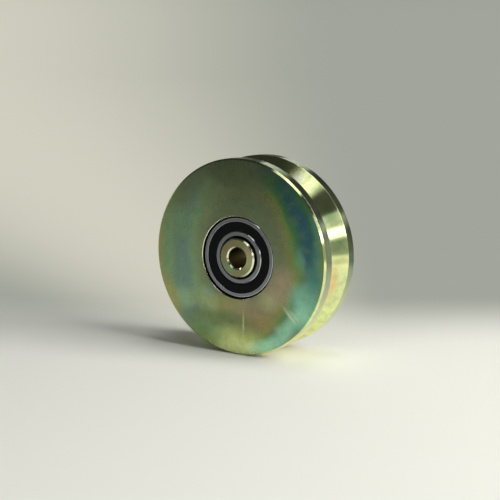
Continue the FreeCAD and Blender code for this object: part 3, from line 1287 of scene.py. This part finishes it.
@dataclass
class PhotoCamera:
    """Camera at the photograph's viewing angle, level, for a square picture.

    Attributes:
        azimuth: Angle round the wheel from the front of its face, in degrees.
        elevation: Angle above the floor, in degrees.
        distance: Distance from the wheel's centre in metres.
        lens: Focal length in millimetres.
        sensor: Width of the sensor in millimetres.
        left: How far left of the wheel's centre the camera aims, in millimetres.
        above: How far above the wheel's centre the camera aims, in millimetres.
        reach: Nearest and farthest distance that it sees, in metres.
    """

    azimuth: float = 31.90
    elevation: float = 9.84
    distance: float = 0.5356
    lens: float = 75.0
    sensor: float = 36.0
    left: float = 1.815
    above: float = 1.77
    reach: Pair = (0.01, 100.0)

    def build(self) -> None:
        """Set up the camera and make it the scene's."""
        back = direction(self.azimuth, self.elevation)
        right = direction(self.azimuth + 90, 0)
        up = back.cross(right)
        camera = bpy.data.cameras.new("photo_camera")
        camera.lens = self.lens
        camera.sensor_width = self.sensor
        camera.clip_start, camera.clip_end = self.reach
        item = add_object("photo_camera", camera)
        item.location = (up * self.above - right * self.left) * MM + back * self.distance
        item.rotation_mode = "QUATERNION"
        item.rotation_quaternion = (-back).to_track_quat("-Z", "Y")
        bpy.context.scene.camera = item
        log.info("camera: %.2f degrees round, %.2f degrees up", self.azimuth, self.elevation)


FACE_RINGS = FilmRings(
    right_half=(31.0, 39.0),
    right=(
        (0.0, Tint.OLIVE), (0.85, Tint.OLIVE), (0.96, Tint.KHAKI), (1.05, Tint.GRASS),
        (1.13, Tint.FERN), (1.21, Tint.PINE), (1.28, Tint.NAVY), (1.33, Tint.NAVY),
        (1.41, Tint.PINE), (1.49, Tint.TEAL), (1.57, Tint.GRASS),
    ),
    left_half=(31.0, 52.0),
    left=(
        (0.0, Tint.OLIVE), (0.55, Tint.OLIVE), (0.72, Tint.MOSS), (0.88, Tint.SAGE),
        (1.02, Tint.STEEL), (1.20, Tint.STEEL), (1.33, Tint.SAGE), (1.46, Tint.SAGE),
        (1.58, Tint.GOLD),
    ),
)

FACE_FILM_AND_PAINTED_LIGHT = (
    face_patch(Tint.MOSS, (-16, 40), (26, 14), turn=75, share=0.7),
    face_patch(Tint.SAGE, (-33, 16), (12, 16), turn=20, share=0.6),
    face_patch(Tint.OLIVE, (-2, 45), (22, 12), share=0.95, core=0.5),
    face_patch(Tint.FERN, (36, 32), (6, 14), turn=-48, share=0.7),
    face_patch(Tint.SEA, (36.5, 1), (4.5, 10), share=0.4),
    face_patch(Tint.SEA, (-17, -23), (10, 10), share=0.6),
    face_patch(Tint.MINT, (-33, -23), (11, 8), share=0.4),
    face_patch(Tint.KHAKI, (-34, 33), (12, 20), turn=45, share=0.6),
    face_patch(Tint.OLIVE, (14, 40), (12, 10), turn=-70, share=0.8),
    face_patch(Tint.FERN, (21, 40), (7, 12), turn=-60, share=0.5),
    face_patch(Tint.GRASS, (35, -9), (9, 14), turn=12, share=0.9),
    face_patch(Tint.TEAL, (42, -8), (7, 14), turn=12, share=0.7),
    face_patch(Tint.ROSE, (25, -13), (12, 16), turn=30, share=0.8),
    face_patch(Tint.ROSE, (6, -25), (18, 8), share=0.5),
    face_patch(Tint.WHEAT, (18, -20), (9, 7), turn=20, share=0.5),
    face_patch(Tint.GOLD, (-12, -24), (22, 9), share=0.6),
    face_patch(Tint.GOLD, (-42, -24), (8, 18), turn=-30, share=0.9),
    face_patch(Tint.RUST, (13, -31), (19, 10), share=0.6),
    # painted reflection: a dark band across the lower face
    face_patch(Tint.SHADE, (-12, -33), (32, 7), turn=2, share=0.75),
    face_patch(Tint.GRASS, (-22, -42), (18, 9), turn=30, share=0.8),
    # the bottom of the face lighter: partly the film's yellow-green, partly painted reflection of the
    # pale floor
    face_patch(Tint.LIME, (2, -45), (26, 12), share=0.9),
    face_patch(Tint.SEA, (38, -20), (12, 15), turn=28, share=0.9),
    face_patch(Tint.AQUA, (36, -27), (8, 13), turn=50, share=0.7),
    face_patch(Tint.AQUA, (17, -43.5), (7, 18), turn=68, share=0.9),
    face_patch(Tint.AQUA, (28, -35), (7, 9), turn=50, share=0.7),
    # painted reflection of the pale floor along the bottom edge
    face_patch(Tint.STRAW, (2, -47), (18, 8), share=0.45),
    face_patch(Tint.GOLD, (31.6, -38.8), (2.5, 20), turn=52, share=0.6),
)

# painted highlights: narrow radial streaks on the lower face, for the stretched highlights of its turned
# marks
FACE_PAINTED_STREAKS = (
    face_patch(Tint.PEARL, (30.5, -26), (1.5, 7), turn=-43, share=0.6, core=0.0),
    face_patch(Tint.PEARL, (32.5, -25.5), (1.2, 6), turn=-48, share=0.45, core=0.0),
    face_patch(Tint.STRAW, (3.6, -33), (0.9, 9), share=0.35, core=0.0),
)

RIM_FILM_AND_PAINTED_LIGHT = (
    FilmAndLightPatch(Tint.VIOLET, (24, 2, 41), (5, 7, 5), share=0.6),
    FilmAndLightPatch(Tint.MINT, (34, 0, 32), (9, 40, 9), share=0.4),
    FilmAndLightPatch(Tint.MINT, (41, 4, 23), (6, 9, 8), share=0.9),
    FilmAndLightPatch(Tint.MINT, (46, 6, 7), (8, 8, 8), share=0.8),
    FilmAndLightPatch(Tint.GOLD, (47, 6, -1), (7, 8, 3), share=0.6),
    FilmAndLightPatch(Tint.AMBER, (44, 3, -14), (9, 3, 22), turn=18, share=0.7),
    # painted reflection of the pale floor: the lower part of the groove lighter
    FilmAndLightPatch(Tint.CREAM, (24, 0, -44), (22, 40, 12), share=0.7),
)

LAND_FILM_AND_PAINTED_LIGHT = (
    FilmAndLightPatch(Tint.MINT, (22, 0, 44.5), (7, 40, 7), share=0.6),
    FilmAndLightPatch(Tint.TEAL, (44, -12, 24), (5, 9, 6), share=0.7),
    # painted shade: the rear land darker on its right side
    FilmAndLightPatch(Tint.UMBER, (48, 13, 12), (9, 8, 18), share=0.9),
    FilmAndLightPatch(Tint.SHADE, (50, 12, 5), (5, 9, 5), share=0.6),
    FilmAndLightPatch(Tint.STEEL, (50, 12, -1), (4, 6, 4), share=0.8),
    # painted reflection of the pale floor: the lower part of the lands lighter
    FilmAndLightPatch(Tint.STRAW, (43, 0, -26), (14, 40, 16), share=0.6),
    FilmAndLightPatch(Tint.CREAM, (28, 0, -42), (26, 60, 18), share=1.0, core=0.4),
)

SLEEVE_FILM_AND_PAINTED_LIGHT = (
    face_patch(Tint.BRONZE, (-6, 5), (9, 9), share=0.6),
    # painted highlight: the right of the sleeve's end and its chamfer lighter
    face_patch(Tint.WHEAT, (7, -1), (6, 9), share=0.9),
    # painted reflection: a green patch at the lower left
    face_patch(Tint.SAGE, (-4.5, -6.5), (5, 4), turn=60, share=0.7),
)


def main() -> None:
    """Build the wheel, the studio and the camera in order."""
    # olive at the middle, with green, blue and gold bands towards the rim, and a satin gloss
    # the film is painted darker near the top and lighter lower down, as painted shade and painted light
    face = ChromatedSteel(
        "chromated_turned_face", Tint.OLIVE.value, roughness=0.28, anisotropy=0.4, feed=0.175,
        depth=0.002, patches=FACE_FILM_AND_PAINTED_LIGHT, rings=FACE_RINGS, painted_streaks=FACE_PAINTED_STREAKS, light=(0.60, 1.16),
    )
    # thin, pale yellow film on a finer cut, almost bright, with green flecks
    groove = ChromatedSteel(
        "chromated_turned_groove", Tint.STRAW.value, roughness=0.13, anisotropy=0.6, feed=0.125,
        depth=0.002, patches=RIM_FILM_AND_PAINTED_LIGHT, fleck=Tint.SAGE, fleck_size=3.0, fleck_share=0.22,
    )
    # rubbed film, so the steel's grey shows through it
    land = ChromatedSteel(
        "chromated_worn_land", Tint.LAND.value, roughness=0.22, anisotropy=0.5, feed=0.125,
        depth=0.002, patches=LAND_FILM_AND_PAINTED_LIGHT,
    )
    # coarser turned, so the ends show their marks in dull gold
    sleeve = ChromatedSteel(
        "chromated_sleeve", Tint.SLEEVE.value, roughness=0.24, anisotropy=0.4, feed=0.225,
        depth=0.015, patches=SLEEVE_FILM_AND_PAINTED_LIGHT,
    )
    # drilled and dull, a darker brown than the ends: partly the film's colour, partly painted shade
    # inside the bore
    bore = ChromatedSteel(
        "chromated_bore", Tint.BORE.value, roughness=0.35, anisotropy=0.2, feed=0.225, depth=0.004
    )
    # seat lead-ins and sleeve chamfers in a lighter film colour: painted highlight along these edges
    edge = ChromatedSteel(
        "chromated_bright_edge", Tint.EDGE.value, roughness=0.18, anisotropy=0.4, feed=0.125,
        depth=0.002,
    ).material()
    # faces of the races, a mid grey between the black seal and the dark gaps
    ground = GroundSteel(
        "ground_bearing_steel", "#7d7f83", roughness=0.15, anisotropy=0.5, feed=0.1, depth=0.001
    ).material()
    # edges of the races, a lighter copy of their steel: painted highlight that draws glint lines
    glint_edges = GroundSteel(
        "honed_race_edges", "#c6c8cc", roughness=0.14, anisotropy=0.3, feed=0.1, depth=0.001
    ).material()
    # almost black: painted shade in the gaps, so the races stand off from the wheel and the sleeve
    gap_shade = GapShadeSteel(
        "oiled_steel_in_gaps", "#232322", roughness=0.35, anisotropy=0.0, feed=0.1, depth=0.0
    ).material()
    # bright and hard, as far as light gets past the seals
    balls = LappedSteel(
        "lapped_ball_steel", "#c8c9cc", roughness=0.06, anisotropy=0.0, feed=0.125, depth=0.0
    ).material()
    # rolled sheet, softer and duller than the balls
    cage = PressedSteel(
        "pressed_cage_steel", "#b3b2ae", roughness=0.36, anisotropy=0.0, feed=0.2, depth=0.001
    ).material()
    # deep black that only shows its texture in the light
    rubber = MouldedNitrile("moulded_nitrile").material()
    WheelBody().build([face.material(), groove.material(), land.material(), gap_shade, edge])
    AxleSleeve().build([sleeve.material(), bore.material(), edge])
    for side in Side:
        bearing = SealedBearing(side)
        bearing.build([ground, gap_shade, glint_edges], rubber)
        bearing.dress(balls, cage)
    Studio().build()
    PhotoCamera().build()


if __name__ == "__main__":
    main()
